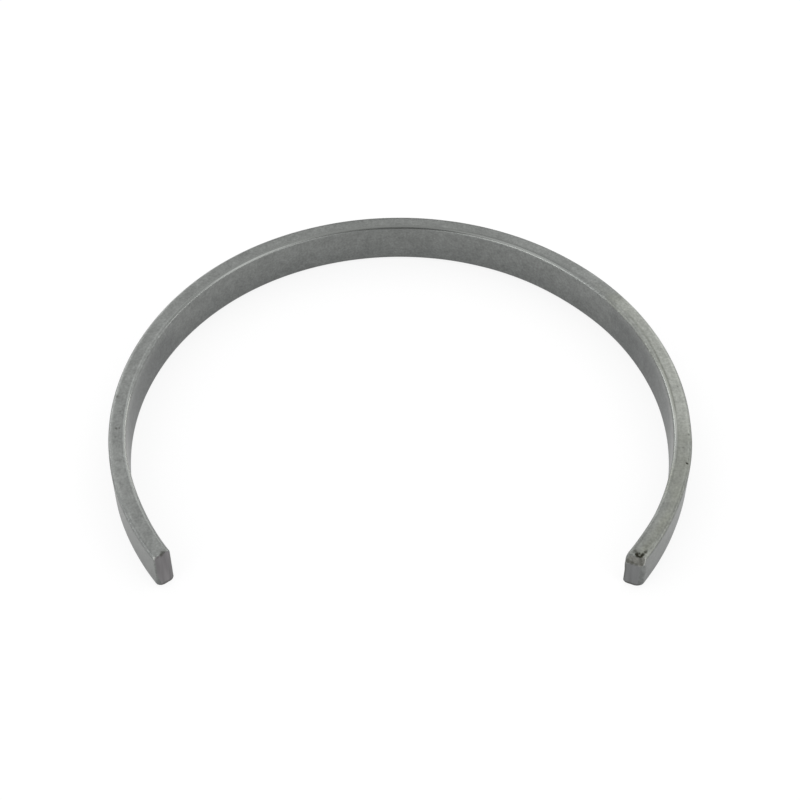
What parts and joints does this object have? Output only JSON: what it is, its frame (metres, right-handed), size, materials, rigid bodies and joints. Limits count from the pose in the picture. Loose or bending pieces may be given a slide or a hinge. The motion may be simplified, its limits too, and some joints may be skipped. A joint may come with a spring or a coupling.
{
  "type": "locating ring",
  "caption": "Open locating ring of rectangular steel bar with rounded edges, bent to a wide C with one square and one slanting end cut.",
  "frame": {"origin": "on the ring's axis, in the plane of the side face that the ring lies on", "axes": "+Z along the ring's axis, up from the side face it lies on; +Y towards the middle of the bar, opposite the mouth; the mouth opens towards -Y; +X towards the end with the slanting cut"},
  "size_m": [0.15, 0.1206, 0.0125],
  "materials": {
    "tumbled_steel": "rolled and tumbled, matt grey"
  },
  "bodies": {
    "root": {"locating_ring": "tumbled_steel"}
  },
  "joints": []
}
